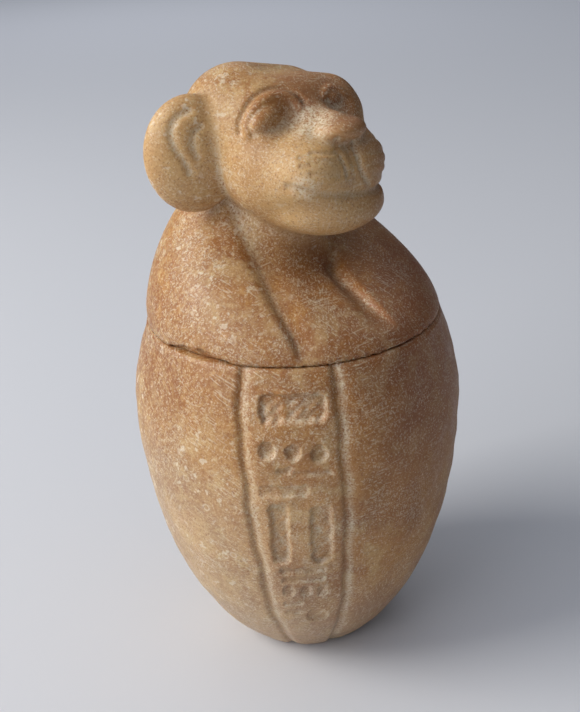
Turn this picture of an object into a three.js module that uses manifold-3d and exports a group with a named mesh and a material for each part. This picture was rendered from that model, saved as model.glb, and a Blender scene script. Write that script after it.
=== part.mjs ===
// A canopic jar carved in soft stone: a hollow, egg-shaped jar with a column of carving on its front, and a
// loose lid in the form of a baboon's head and shoulders, with a spigot that sits in the mouth.
// Millimetres, +Z up, origin at the centre of the jar's foot. The jar's carved column faces -Y.
// The lid stands turned on the jar: its face looks LID_TURN degrees round from -Y towards +X.
import * as THREE from "three";
import { mergeVertices } from "three/addons/utils/BufferGeometryUtils.js";
import Module from "manifold-3d";

// Jar
const JAR_HEIGHT = 107;
const BELLY_RADIUS = 48.3;
const BELLY_HEIGHT = 77;
const FOOT_RADIUS = 21;
const FOOT_EDGE = 1;
const RIM_RADIUS = 42.4;
const WALL = 9;
const FLOOR = 13;
const MOUTH_RADIUS = 29;
const MOUTH_DEPTH = 9;
const SHOULDER_DROP = 5;

// Column of carving on the jar: two upright grooves, with rows of shallow strokes between them.
// It leans a little, so its middle and its half width, in degrees round the jar, change on the way up.
const COLUMN_MIDDLE = { foot: 1.5, rim: -3.2 };
const COLUMN_HALF = { foot: 15, rim: 16.2 };
const GROOVE_WIDTH = 3.6;
const GROOVE_DEPTH = 1.3;
const STROKE_WIDTH = 3.4;
const STROKE_DEPTH = 1;

// Each row: its height, how many strokes it has, how far apart, their length across and upwards, and how
// far the row's middle is from the jar's front.
const STROKE_ROWS = [
  { height: 97.5, count: 1, pitch: 0, across: 17, up: 7, middle: -1.5 },
  { height: 85.5, count: 3, pitch: 6.9, across: 3.6, up: 3.6, middle: -2 },
  { height: 76.5, count: 1, pitch: 0, across: 20, up: STROKE_WIDTH, middle: -1.5 },
  { height: 58.5, count: 2, pitch: 12, across: STROKE_WIDTH, up: 20, middle: -1 },
  { height: 43, count: 1, pitch: 0, across: 13, up: STROKE_WIDTH, middle: -0.5 },
  { height: 33.5, count: 3, pitch: 5.4, across: STROKE_WIDTH, up: 5.5, middle: 0.5 },
  { height: 25, count: 1, pitch: 0, across: 5.5, up: 5.5, middle: 1.5 },
];

// Lid
const LID_HEIGHT = 70;
const LID_TURN = 42;
const LID_INSET = 0.3;
const SEAM_GAP = 0.3;
const SPIGOT_HEIGHT = 6;
const SPIGOT_CLEARANCE = 1;
const CHIP_DEPTH = 3;

const STONE = { color: 0xb9814e, roughness: 0.55, metalness: 0 };
const ROUND_SEGMENTS = 48;
const RADIANS = Math.PI / 180;

const wasm = await Module();
wasm.setup();

// A closed three.js geometry as a solid for cutting and joining.
function solidOf(geometry, matrix = new THREE.Matrix4()) {
  const bare = new THREE.BufferGeometry();
  bare.setAttribute("position", geometry.getAttribute("position").clone());
  if (geometry.index) bare.setIndex(geometry.index.clone());
  bare.applyMatrix4(matrix);
  const merged = mergeVertices(bare, 1e-4);
  const corners = merged.index.array;
  const kept = [];
  for (let i = 0; i < corners.length; i += 3) {
    const [a, b, c] = [corners[i], corners[i + 1], corners[i + 2]];
    if (a !== b && b !== c && c !== a) kept.push(a, b, c);
  }
  return new wasm.Manifold(
    new wasm.Mesh({
      numProp: 3,
      vertProperties: merged.getAttribute("position").array,
      triVerts: new Uint32Array(kept),
    }),
  );
}

function meshOf(solid, name, finish) {
  const cut = solid.getMesh();
  const geometry = new THREE.BufferGeometry();
  geometry.setAttribute("position", new THREE.BufferAttribute(cut.vertProperties, 3));
  geometry.setIndex(new THREE.BufferAttribute(cut.triVerts, 1));
  geometry.computeVertexNormals();
  const mesh = new THREE.Mesh(geometry, new THREE.MeshStandardMaterial(finish));
  mesh.name = name;
  return mesh;
}

function lathe(points) {
  const outline = points.map(([radius, z]) => new THREE.Vector2(radius, z));
  const upright = new THREE.Matrix4().makeRotationX(Math.PI / 2);
  return solidOf(new THREE.LatheGeometry(outline, ROUND_SEGMENTS), upright);
}

function steps(from, to, count) {
  return Array.from({ length: count + 1 }, (_, i) => from + ((to - from) * i) / count);
}

const mix = (from, to, share) => from + (to - from) * share;

// The jar's outline is two quarter ellipses that meet at the belly: up to the rim and down to the foot.
function ellipseSpan(length, endRadius) {
  return length / Math.sqrt(1 - (endRadius / BELLY_RADIUS) ** 2);
}
const UPPER_SPAN = ellipseSpan(JAR_HEIGHT - BELLY_HEIGHT, RIM_RADIUS);
const LOWER_SPAN = ellipseSpan(BELLY_HEIGHT, FOOT_RADIUS);

function jarRadius(z) {
  const span = z > BELLY_HEIGHT ? UPPER_SPAN : LOWER_SPAN;
  return BELLY_RADIUS * Math.sqrt(1 - ((z - BELLY_HEIGHT) / span) ** 2);
}

// The whole block before hollowing, grown outwards by a margin.
function jarBlock(margin = 0) {
  const wall = steps(FOOT_EDGE, JAR_HEIGHT, 10).map((z) => [jarRadius(z) + margin, z]);
  return lathe([[0, 0], [FOOT_RADIUS - FOOT_EDGE + margin, 0], ...wall, [0, JAR_HEIGHT]]);
}

// The hollow follows the outside at the wall's thickness and narrows to the mouth.
function jarHollow() {
  const throat = JAR_HEIGHT - MOUTH_DEPTH;
  const above = JAR_HEIGHT + MOUTH_DEPTH;
  const inside = steps(FLOOR, throat - SHOULDER_DROP, 5).map((z) => [jarRadius(z) - WALL, z]);
  return lathe([[0, FLOOR], ...inside, [MOUTH_RADIUS, throat], [MOUTH_RADIUS, above], [0, above]]);
}

// A point on the jar's wall: degrees round from -Y towards +X, height, and how far out from the surface.
function onWall(degrees, z, out = 0) {
  const reach = jarRadius(z) + out;
  return new THREE.Vector3(Math.sin(degrees * RADIANS) * reach, -Math.cos(degrees * RADIANS) * reach, z);
}

// A groove is cut by a round bar that runs along the surface, sunk by the groove's depth.
const barRadius = (GROOVE_WIDTH ** 2 / 4 + GROOVE_DEPTH ** 2) / (2 * GROOVE_DEPTH);

function barAlong(places, count) {
  const section = new THREE.Shape().absarc(0, 0, barRadius, 0, 2 * Math.PI);
  const options = { steps: count, curveSegments: 4, extrudePath: new THREE.CatmullRomCurve3(places) };
  return solidOf(new THREE.ExtrudeGeometry(section, options));
}

function columnGroove(side) {
  const places = steps(JAR_HEIGHT * 1.03, JAR_HEIGHT * 0.05, 12).map((z) => {
    const share = z / JAR_HEIGHT;
    const middle = mix(COLUMN_MIDDLE.foot, COLUMN_MIDDLE.rim, share);
    const half = mix(COLUMN_HALF.foot, COLUMN_HALF.rim, share);
    return onWall(middle + side * half, Math.min(z, JAR_HEIGHT), barRadius - GROOVE_DEPTH).setZ(z);
  });
  return barAlong(places, 12);
}

// A stroke is a shape with round ends, pushed straight into the wall.
function stroke(across, z, width, height) {
  const end = Math.min(width, height) / 2;
  const [w, h] = [width / 2 - end, height / 2 - end];
  const shape = new THREE.Shape();
  shape.absarc(w, h, end, 0, Math.PI / 2);
  shape.absarc(-w, h, end, Math.PI / 2, Math.PI);
  shape.absarc(-w, -h, end, Math.PI, 1.5 * Math.PI);
  shape.absarc(w, -h, end, 1.5 * Math.PI, 2 * Math.PI);
  const options = { depth: BELLY_RADIUS, curveSegments: 2, bevelEnabled: false };
  const bar = new THREE.ExtrudeGeometry(shape, options);
  const turn = across / jarRadius(z);
  const place = new THREE.Matrix4()
    .makeRotationZ(turn)
    .multiply(new THREE.Matrix4().makeTranslation(0, 0, z))
    .multiply(new THREE.Matrix4().makeRotationX(Math.PI / 2))
    .multiply(new THREE.Matrix4().makeTranslation(0, 0, BELLY_RADIUS / 4));
  return solidOf(bar, place);
}

function strokeRow({ height, count, pitch, across, up, middle }) {
  const first = middle - ((count - 1) / 2) * pitch;
  return Array.from({ length: count }, (_, i) => stroke(first + i * pitch, height, across, up));
}

function jar() {
  const strokes = STROKE_ROWS.flatMap(strokeRow).reduce((all, next) => all.add(next));
  const cuts = [jarHollow(), strokes.subtract(jarBlock(-STROKE_DEPTH)), columnGroove(-1), columnGroove(1)];
  return cuts.reduce((left, cut) => left.subtract(cut), jarBlock());
}

// Signed distances to simple forms, negative inside.
function toEllipsoid(p, centre, radii) {
  const u = p.map((value, i) => (value - centre[i]) / radii[i]);
  const slope = Math.hypot(u[0] / radii[0], u[1] / radii[1], u[2] / radii[2]);
  const near = Math.hypot(...u);
  return slope > 0 ? (near * (near - 1)) / slope : -Math.min(...radii);
}

// A limb is a capsule from a to b whose radius changes on the way.
function toLimb(p, a, b, radiusA, radiusB = radiusA) {
  const along = b.map((value, i) => value - a[i]);
  const reach = p.map((value, i) => value - a[i]);
  const length2 = along[0] ** 2 + along[1] ** 2 + along[2] ** 2;
  const dot = along[0] * reach[0] + along[1] * reach[1] + along[2] * reach[2];
  const share = Math.min(Math.max(dot / length2, 0), 1);
  const away = Math.hypot(...reach.map((value, i) => value - along[i] * share));
  return away - mix(radiusA, radiusB, share);
}

function toPath(p, places) {
  const parts = places.slice(1).map((place, i) => toLimb(p, places[i], place, 0));
  return Math.min(...parts);
}

// Two forms run into each other over a soft width; the other sign cuts the second out of the first.
function join(a, b, soft) {
  const near = Math.max(soft - Math.abs(a - b), 0) / soft;
  return Math.min(a, b) - (near * near * soft) / 4;
}
const carve = (a, b, soft) => -join(-a, b, soft);
const scratch = (away, width, depth) => depth * Math.exp(-((away / width) ** 2));

// The figure, in its own frame: it looks along -Y, and z is measured from the seam. Its places and
// thicknesses are written for a lid 70 mm high, and UNIT makes them follow the lid's height.
const UNIT = LID_HEIGHT / 70;

// A place on the figure: to the head's side, in front of its middle, and up. The head is off the jar's axis.
const HEAD_SIDE = -2.2;
const HEAD_BACK = 2;
const at = (side, forward, up) => [HEAD_SIDE + side, HEAD_BACK - forward, up];
const mirrored = (p) => [HEAD_SIDE + Math.abs(p[0] - HEAD_SIDE), p[1], p[2]];

// The shoulders meet the jar's rim all round, whatever the figure's height is.
function shoulders(p) {
  const radius = (RIM_RADIUS + LID_INSET) / UNIT;
  const tall = 35.5 + (18 * p[1]) / Math.hypot(p[0], p[1], 8);
  return toEllipsoid(p, [0, 0, -3], [radius, radius, tall]);
}

function neck(p) {
  return toLimb(p, at(-1, -3, 12), at(0, 0, 40), 17, 15);
}

function skull(p) {
  const crown = toLimb(p, at(-7.5, -5, 54.2), at(7.5, -5, 51.8), 15.5, 15);
  const front = toEllipsoid(p, at(0, 7, 46), [20, 15, 18.5]);
  const brow = toLimb(p, at(-9.5, 8, 58.3), at(11.8, 9, 59.6), 5, 5.2);
  return join(join(crown, brow, 8), front, 6);
}

function muzzle(p) {
  const cone = toEllipsoid(p, at(0, 9.5, 43), [19.5, 20, 13]);
  const pads = toEllipsoid(mirrored(p), at(7.5, 21.3, 44.6), [9, 9, 8]);
  const jaw = toEllipsoid(p, at(2.5, 17.2, 34), [16, 14.5, 8.2]);
  return join(join(cone, pads, 5), jaw, 4);
}

function nose(p) {
  const ridge = toLimb(p, at(-1, 12, 60), at(-0.2, 22, 57), 3.3, 3.6);
  const tip = toEllipsoid(p, at(0.2, 24, 55.4), [6, 5.8, 3.5]);
  return join(ridge, tip, 2.5);
}

// An almond that slopes down to its outer corner.
function almond(p, [side, forward, up], slope, radii) {
  const centre = at(side, forward, up);
  return toEllipsoid([p[0], p[1], p[2] - slope * (p[0] - centre[0])], centre, radii);
}

// Each eye: its middle, and how much it slopes.
const EYES = [[[-11.9, 11.6, 57.9], 0.22], [[10, 13, 58.8], -0.2]];

function face(p) {
  let d = join(skull(p), muzzle(p), 6);
  for (const [[side, forward, up], slope] of EYES)
    d = carve(d, almond(p, [side, forward + 5, up + 0.2], slope, [7.6, 3.6, 4.8]), 3);
  d = join(d, nose(p), 2.5);
  for (const [middle, slope] of EYES) d = join(d, almond(p, middle, slope, [6.8, 3.8, 3.5]), 0.8);
  return d;
}

function ears(p) {
  const right = toEllipsoid(p, at(-24.5, -5.6, 48.5), [14.5, 7, 15.5]);
  const left = toEllipsoid(p, at(24, -6, 47.3), [14.5, 7, 13.4]);
  return Math.min(right, left);
}

// A line drawn on the front of a form, through places given as side and up.
function laidOn(form, places) {
  return places.map(([side, up]) => {
    const place = at(side, 45, up);
    for (let step = 0; step < 60; step += 1) place[1] += 0.8 * form(place);
    return place;
  });
}
const MOUTH_LINE = [[-17.5, 43.8], [-15, 41.9], [-10, 40.6], [-3, 39.4], [3, 38.4], [10, 37.6], [16, 38.4]];
const MOUTH = laidOn(face, MOUTH_LINE);
const PHILTRUM = [laidOn(face, [[-3.5, 53], [-3, 44.4]]), laidOn(face, [[2.4, 50.8], [2.4, 43.6]])];
const EAR_FOLD = laidOn(ears, [[-26, 60.5], [-29.5, 59], [-31.3, 55.5], [-31, 51.5], [-28.3, 45]]);

function head(p) {
  let d = face(p) + scratch(toPath(p, MOUTH), 1.4, 1.5);
  for (const line of PHILTRUM) d += scratch(toPath(p, line), 1.2, 1);
  return join(d, ears(p) + scratch(toPath(p, EAR_FOLD), 1.6, 1.2), 1.5);
}

function figure(p) {
  const q = p.map((value) => value / UNIT);
  const bust = join(join(shoulders(q), neck(q), 7), head(q), 2);
  return Math.max(bust * UNIT, -p[2] - SPIGOT_HEIGHT / 2);
}

// A fold of the cape, from the neck down: degrees round from the lid's own front, and height above the seam.
const RIGHT_FOLD = [[-96, 32.5], [-81, 27], [-72, 23.6], [-64, 20], [-54.7, 15.7], [-46.8, 10.2], [-41, 3.7]];
const LEFT_FOLD = [[12, 15.5], [3, 12.7], [-0.1, 10.8], [-1.2, 8.8], [-1, 6.7]];

// The bar that cuts a fold rises out of the surface at both of the fold's ends.
function foldGroove(places) {
  const route = places.map(([degrees, height], i) => {
    const up = height * UNIT;
    const heading = [Math.sin(degrees * RADIANS), -Math.cos(degrees * RADIANS)];
    let out = RIM_RADIUS * 1.5;
    for (let step = 0; step < 60; step += 1) out -= 0.8 * figure([heading[0] * out, heading[1] * out, up]);
    const fade = i === 0 || i === places.length - 1 ? GROOVE_DEPTH : 0;
    const reach = out + barRadius - GROOVE_DEPTH + fade;
    return new THREE.Vector3(heading[0] * reach, heading[1] * reach, up);
  });
  return barAlong(route, 2 * places.length);
}

// The chip is a flake lost from the lid's lower edge, flat behind and ragged above.
const CHIP_FROM = -95;
const CHIP_HEIGHTS = [0, 0.9, 1.6, 2.6, 1.8, 2.4, 1.2, 0];
const CHIP_STEP = 4;

function chip() {
  const middle = CHIP_FROM + (CHIP_STEP * (CHIP_HEIGHTS.length - 1)) / 2;
  const pitch = RIM_RADIUS * CHIP_STEP * RADIANS;
  const outline = new THREE.Shape();
  const ends = ((CHIP_HEIGHTS.length - 1) * pitch) / 2;
  outline.moveTo(ends, -1);
  outline.lineTo(-ends, -1);
  CHIP_HEIGHTS.forEach((height, i) => outline.lineTo(i * pitch - ends, height));
  const flake = new THREE.ExtrudeGeometry(outline, { depth: 2 * CHIP_DEPTH, bevelEnabled: false });
  const place = new THREE.Matrix4()
    .makeRotationZ(middle * RADIANS)
    .multiply(new THREE.Matrix4().makeTranslation(0, CHIP_DEPTH - RIM_RADIUS, 0))
    .multiply(new THREE.Matrix4().makeRotationX(Math.PI / 2));
  return solidOf(flake, place);
}

// Where the corners of a grid face lie inside and outside crosswise, an outside one is filled in, so that
// the surface never meets itself along an edge.
function closeCrossings(values, [nx, ny, nz]) {
  const strides = [1, nx, nx * ny];
  const pairs = [[0, 1], [0, 2], [1, 2]];
  let filled = true;
  while (filled) {
    filled = false;
    for (let n = 0; n < values.length; n += 1) {
      const place = [n % nx, Math.floor(n / nx) % ny, Math.floor(n / (nx * ny))];
      for (const [a, b] of pairs) {
        if (place[a] + 1 >= [nx, ny, nz][a] || place[b] + 1 >= [nx, ny, nz][b]) continue;
        const ring = [n, n + strides[a], n + strides[a] + strides[b], n + strides[b]];
        const inside = ring.map((m) => values[m] < 0);
        if (inside[0] !== inside[2] || inside[1] !== inside[3] || inside[0] === inside[1]) continue;
        values[ring[inside[0] ? 1 : 0]] = -0.01;
        filled = true;
      }
    }
  }
}

// The surface of a distance function as a closed mesh: one corner in each grid cell that the surface
// crosses, slid onto the surface, and two triangles for each grid edge that it crosses.
function skin(distance, axes) {
  const [nx, ny, nz] = axes.map((axis) => axis.length);
  const values = new Float32Array(nx * ny * nz);
  const index = (i, j, k) => (k * ny + j) * nx + i;
  for (let k = 0; k < nz; k += 1)
    for (let j = 0; j < ny; j += 1)
      for (let i = 0; i < nx; i += 1) values[index(i, j, k)] = distance([axes[0][i], axes[1][j], axes[2][k]]);
  closeCrossings(values, [nx, ny, nz]);
  const corners = [];
  const cornerOf = new Map();
  const ends = [[0, 0, 0], [1, 0, 0], [0, 1, 0], [1, 1, 0], [0, 0, 1], [1, 0, 1], [0, 1, 1], [1, 1, 1]];
  const edges = ends.flatMap((a, m) =>
    ends.flatMap((b, n) => (n > m && a.filter((v, i) => v !== b[i]).length === 1 ? [[a, b]] : [])),
  );
  function corner(i, j, k) {
    const key = index(i, j, k);
    if (cornerOf.has(key)) return cornerOf.get(key);
    const sum = [0, 0, 0];
    let count = 0;
    for (const [a, b] of edges) {
      const va = values[index(i + a[0], j + a[1], k + a[2])];
      const vb = values[index(i + b[0], j + b[1], k + b[2])];
      if (va < 0 === vb < 0) continue;
      const share = va / (va - vb);
      [i, j, k].forEach((cell, axis) => {
        sum[axis] += mix(axes[axis][cell + a[axis]], axes[axis][cell + b[axis]], share);
      });
      count += 1;
    }
    const place = sum.map((value) => value / count);
    cornerOf.set(key, corners.length);
    corners.push(place);
    return corners.length - 1;
  }
  const apart = (a, b) => Math.hypot(...corners[a].map((value, axis) => value - corners[b][axis]));
  const sides = new Set();
  const quads = [];
  const sideOf = (a, b) => Math.min(a, b) * values.length + Math.max(a, b);
  function face(a, b, c, d, outwards) {
    const ring = outwards ? [a, b, c, d] : [d, c, b, a];
    ring.forEach((value, i) => sides.add(sideOf(value, ring[(i + 1) % 4])));
    quads.push(ring);
  }
  for (let k = 0; k < nz - 1; k += 1)
    for (let j = 0; j < ny - 1; j += 1)
      for (let i = 0; i < nx - 1; i += 1) {
        const here = values[index(i, j, k)] < 0;
        if (j > 0 && k > 0 && here !== values[index(i + 1, j, k)] < 0)
          face(corner(i, j - 1, k - 1), corner(i, j, k - 1), corner(i, j, k), corner(i, j - 1, k), here);
        if (i > 0 && k > 0 && here !== values[index(i, j + 1, k)] < 0)
          face(corner(i - 1, j, k - 1), corner(i - 1, j, k), corner(i, j, k), corner(i, j, k - 1), here);
        if (i > 0 && j > 0 && here !== values[index(i, j, k + 1)] < 0)
          face(corner(i - 1, j - 1, k), corner(i, j - 1, k), corner(i, j, k), corner(i - 1, j, k), here);
      }
  // A four-sided face is split along its shorter diagonal, unless other faces already meet along it.
  const triangles = quads.flatMap((ring) => {
    const shorter = apart(ring[0], ring[2]) < apart(ring[1], ring[3]) ? 0 : 1;
    const start = sides.has(sideOf(ring[shorter], ring[shorter + 2])) ? 1 - shorter : shorter;
    const [a, b, c, d] = [0, 1, 2, 3].map((step) => ring[(start + step) % 4]);
    sides.add(sideOf(a, c));
    return [a, b, c, a, c, d];
  });
  const geometry = new THREE.BufferGeometry();
  geometry.setAttribute("position", new THREE.Float32BufferAttribute(corners.flat(), 3));
  geometry.setIndex(triangles);
  return geometry;
}

// Grid planes from a start on, in spans: where each span ends, and how far apart its planes are.
function planes(start, ...spans) {
  const found = [start];
  for (const [end, pitch] of spans) {
    const from = found.at(-1);
    found.push(...steps(from, end, Math.max(1, Math.round((end - from) / pitch))).slice(1));
  }
  return found;
}

// The grid is close round the face and at the seam, and it ends clear of the shoulders and the crown.
function figureGrid() {
  const open = 4.9 * UNIT;
  const close = 2.7 * UNIT;
  const reach = Math.max(RIM_RADIUS, 42 * UNIT) + open;
  const top = LID_HEIGHT + open;
  const [right, left] = [(HEAD_SIDE - 18) * UNIT, (HEAD_SIDE + 18) * UNIT];
  const [front, brow, back] = [(HEAD_BACK - 32) * UNIT, (HEAD_BACK - 18) * UNIT, (HEAD_BACK - 6) * UNIT];
  return [
    planes(-reach, [right, open], [left, close], [reach, open]),
    planes(-reach, [front, open], [brow, 3.4 * UNIT], [back, 2.4 * UNIT], [reach, open]),
    planes(-SPIGOT_HEIGHT - open, [6 * UNIT, close], [26 * UNIT, open], [68 * UNIT, close], [top, open]),
  ];
}

function lid() {
  const carved = solidOf(skin(figure, figureGrid()));
  const edge = RIM_RADIUS - LID_INSET;
  const above = lathe([[0, 0], [edge, 0], [edge, 2 * LID_HEIGHT], [0, 2 * LID_HEIGHT]]);
  const spigotRadius = MOUTH_RADIUS - SPIGOT_CLEARANCE;
  const overlap = SPIGOT_HEIGHT / 6;
  const spigot = lathe([
    [0, -SPIGOT_HEIGHT],
    [spigotRadius, -SPIGOT_HEIGHT],
    [spigotRadius, overlap],
    [0, overlap],
  ]);
  const cuts = [foldGroove(LEFT_FOLD), foldGroove(RIGHT_FOLD), chip()];
  return cuts.reduce((left, cut) => left.subtract(cut), carved.intersect(above)).add(spigot);
}

const canopicJar = new THREE.Group();
canopicJar.add(meshOf(jar(), "jar", STONE));

const lidOnJar = new THREE.Group();
lidOnJar.position.z = JAR_HEIGHT + SEAM_GAP;
lidOnJar.rotation.z = LID_TURN * RADIANS;
lidOnJar.add(meshOf(lid(), "lid", STONE));
canopicJar.add(lidOnJar);

export default canopicJar;
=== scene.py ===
import bpy
import numpy as np
from mathutils import Matrix, Vector


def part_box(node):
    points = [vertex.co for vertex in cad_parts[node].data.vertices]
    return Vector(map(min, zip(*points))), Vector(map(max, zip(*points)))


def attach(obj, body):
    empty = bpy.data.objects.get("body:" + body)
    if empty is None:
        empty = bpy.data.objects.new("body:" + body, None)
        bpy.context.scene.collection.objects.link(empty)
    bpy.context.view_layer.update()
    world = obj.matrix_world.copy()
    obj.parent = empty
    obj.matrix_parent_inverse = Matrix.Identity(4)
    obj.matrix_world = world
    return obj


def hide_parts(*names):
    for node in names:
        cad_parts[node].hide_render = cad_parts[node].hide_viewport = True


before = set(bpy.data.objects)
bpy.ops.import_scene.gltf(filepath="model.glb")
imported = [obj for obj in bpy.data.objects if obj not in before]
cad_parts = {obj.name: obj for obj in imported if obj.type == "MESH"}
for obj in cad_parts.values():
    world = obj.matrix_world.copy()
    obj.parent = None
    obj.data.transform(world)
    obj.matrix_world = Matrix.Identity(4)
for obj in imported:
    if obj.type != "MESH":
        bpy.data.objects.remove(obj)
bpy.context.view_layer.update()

# The view: a phone camera held close in front of the jar and a little above its top, looking
# down on it at 25 degrees, with the carved column towards it. The picture is taller than
# wide. Places are in metres.
CAMERA_PLACE = Vector((-0.00162, -0.27061, 0.21625))
CAMERA_RIGHT = Vector((0.9987, -0.0217, -0.0470))
CAMERA_UP = Vector((0.0517, 0.4190, 0.9065))
CAMERA_NEAREST = 0.01
PICTURE_HEIGHT_PIXELS = 712
FOCAL_LENGTH_PIXELS = 1000
SENSOR_HEIGHT_MM = 36

camera_data = bpy.data.cameras.new("camera")
camera_data.sensor_fit = "VERTICAL"
camera_data.sensor_height = SENSOR_HEIGHT_MM
camera_data.lens = SENSOR_HEIGHT_MM * FOCAL_LENGTH_PIXELS / PICTURE_HEIGHT_PIXELS
camera_data.clip_start = CAMERA_NEAREST
camera = bpy.data.objects.new("camera", camera_data)
across = CAMERA_RIGHT.normalized()
upward = (CAMERA_UP - across * CAMERA_UP.dot(across)).normalized()
turn = Matrix((across, upward, across.cross(upward))).transposed()
camera.matrix_world = Matrix.Translation(CAMERA_PLACE) @ turn.to_4x4()
bpy.context.collection.objects.link(camera)
bpy.context.scene.camera = camera


# The table: a large sheet of matt white card, laid flat. It is plain, cool in colour, and
# uneven only by a trace, so that it takes a soft shadow and no shine.
CARD_COLOUR = "#D3D4D9"
CARD_HALF_METRES = 4.0
CARD_WAVE_MM = 8.889
CARD_WAVE_METRES = 0.0002


def linear(hex_colour):
    """An sRGB hex colour as linear red, green, blue and alpha."""
    parts = [int(hex_colour[i:i + 2], 16) / 255 for i in (1, 3, 5)]
    return [p / 12.92 if p <= 0.04045 else ((p + 0.055) / 1.055) ** 2.4 for p in parts] + [1.0]


def add_node(tree, kind, links=None, **settings):
    """Adds a node, sets its properties, and fills its sockets with values or links."""
    node = tree.nodes.new(kind)
    for name, value in settings.items():
        setattr(node, name, value)
    for socket, value in (links or {}).items():
        if isinstance(value, bpy.types.NodeSocket):
            tree.links.new(value, node.inputs[socket])
        else:
            node.inputs[socket].default_value = value
    return node


def new_material(name):
    """A node material with nothing in it yet, and its node tree."""
    material = bpy.data.materials.new(name)
    material.use_nodes = True
    material.node_tree.nodes.clear()
    return material, material.node_tree


def per_metre(size_mm):
    """The texture scale that repeats a pattern every so many millimetres."""
    return 1000.0 / size_mm


# Matt card: pressed paper, rough and without gloss. The waves in its face are spread over
# the whole sheet, which this noise measures as one unit.
card, card_tree = new_material("matt_card")
card_waves = add_node(card_tree, "ShaderNodeTexNoise", {
    "Scale": 2 * CARD_HALF_METRES * per_metre(CARD_WAVE_MM), "Detail": 2.0})
card_face = add_node(card_tree, "ShaderNodeBump", {
    "Strength": 0.05, "Distance": CARD_WAVE_METRES, "Height": card_waves.outputs["Fac"]})
card_paper = add_node(card_tree, "ShaderNodeBsdfPrincipled", {
    "Base Color": linear(CARD_COLOUR), "Roughness": 0.9, "Specular IOR Level": 0.2,
    "Normal": card_face.outputs["Normal"]})
add_node(card_tree, "ShaderNodeOutputMaterial", {"Surface": card_paper.outputs["BSDF"]})

floor_mesh = bpy.data.meshes.new("floor")
floor_corners = [(x * CARD_HALF_METRES, y * CARD_HALF_METRES, 0)
                 for x, y in ((-1, -1), (1, -1), (1, 1), (-1, 1))]
floor_mesh.from_pydata(floor_corners, [], [(0, 1, 2, 3)])
floor = bpy.data.objects.new("floor", floor_mesh)
floor.data.materials.append(card)
bpy.context.collection.objects.link(floor)


# The light: daylight from a soft window high on the left, the brighter part of the room on
# the left behind the camera, and a window over the far end of the table. The rest of the
# room is pale on the left and above and dim on the right, where the shadow lies.
JAR_MIDDLE = Vector((0, 0, 0.08))
FAR_END = Vector((-0.1, 1.9, 0))
LIGHTS = [
    # Name, place, what it is aimed at, width in metres, power in watts, colour.
    ("window", Vector((-1.08, -0.19, 0.92)), JAR_MIDDLE, 0.7, 15.5, "#FFFDF8"),
    ("room", Vector((-1.5, -1.3, 0.9)), JAR_MIDDLE, 1.2, 12.0, "#FAFAFF"),
    ("far_table", Vector((-0.3, 1.9, 1.1)), FAR_END, 1.0, 4.5, "#F4F7FF"),
]
ROOM_COLOUR = "#D5DBE4"
ROOM_RIGHT, ROOM_LEFT, ROOM_ABOVE = 0.06, 0.42, 0.75

for light_name, light_place, aim, width, power, tint in LIGHTS:
    light_data = bpy.data.lights.new(light_name, "AREA")
    light_data.size = width
    light_data.energy = power
    light_data.color = linear(tint)[:3]
    light = bpy.data.objects.new(light_name, light_data)
    light.location = light_place
    light.rotation_euler = (aim - light_place).to_track_quat("-Z", "Y").to_euler()
    bpy.context.collection.objects.link(light)

world = bpy.data.worlds.new("room_light")
world.use_nodes = True
room_tree = world.node_tree
outward = add_node(room_tree, "ShaderNodeTexCoord").outputs["Generated"]
room_way = add_node(room_tree, "ShaderNodeSeparateXYZ", {"Vector": outward})
room_side = add_node(room_tree, "ShaderNodeMapRange", {
    "Value": room_way.outputs["X"], "From Min": 0.0, "From Max": -0.8,
    "To Min": ROOM_RIGHT, "To Max": ROOM_LEFT})
room_strength = add_node(room_tree, "ShaderNodeMapRange", {
    "Value": room_way.outputs["Z"], "From Min": 0.35, "From Max": 1.0,
    "To Min": room_side.outputs["Result"], "To Max": ROOM_ABOVE})
backdrop = room_tree.nodes["Background"]
backdrop.inputs["Color"].default_value = linear(ROOM_COLOUR)
room_tree.links.new(room_strength.outputs["Result"], backdrop.inputs["Strength"])
bpy.context.scene.world = world
bpy.context.scene.view_settings.view_transform = "Standard"


# The stone of both pieces: a honey-brown calcite, soft and slightly waxy, rubbed smooth by
# hand. It has rust-red clouds, cream mottling and pale crystals, short scratches left by a
# rasp, and whitish stone dust packed in every cut and hollow. Light and shade are painted in
# too: a paler sheen on the side towards the window, darker shade on the far side, and
# highlights along the lit walls of the jar's cuts.
HONEY = "#B07B3E"
AMBER = "#955F29"
RUST = "#7E452B"
STRAW = "#DDB478"
CREAM = "#D1B07A"
# The whitish dust colour below is also used for painted highlights and painted sheen.
DUST_AND_HIGHLIGHT = "#DDCFB4"
CRYSTAL = "#E5D8BE"

# Sizes of the stone's patterns. Its real grains are finer than half a millimetre, and are
# drawn that coarse so that they show.
CLOUD_MM = 26.0
RED_CLOUD_MM = 33.8
PALE_CLOUD_MM = 20.8
RASPED_PATCH_MM = 11.0
MOTTLE_MM = 6.0
CRYSTAL_MM = 5.0
SPECK_MM = 2.4
FLECK_MM = 1.2
GRAIN_MM = 0.55
SCRATCH_MM = 0.5
SCRATCH_STRETCH = 16
SCRATCH_TURNS = (0.3, 0.9, 1.5, 2.1, 2.7)

# Spots that differ from the rest of the stone: their middle and their reach in metres.
CHEEK_SPOT = (0.009, -0.025, 0.147), 0.028
EAR_SPOT = (-0.026, -0.014, 0.158), 0.024
BROW_SPOT = (0.008, -0.010, 0.170), 0.016
NOSE_SPOT = (0.014, -0.017, 0.1635), 0.011
EYE_CORNER_SPOT = (0.0065, -0.0185, 0.1635), 0.008
LIP_SPOT = (0.0045, -0.029, 0.150), 0.005
SPOT_CORE = 0.35

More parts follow.
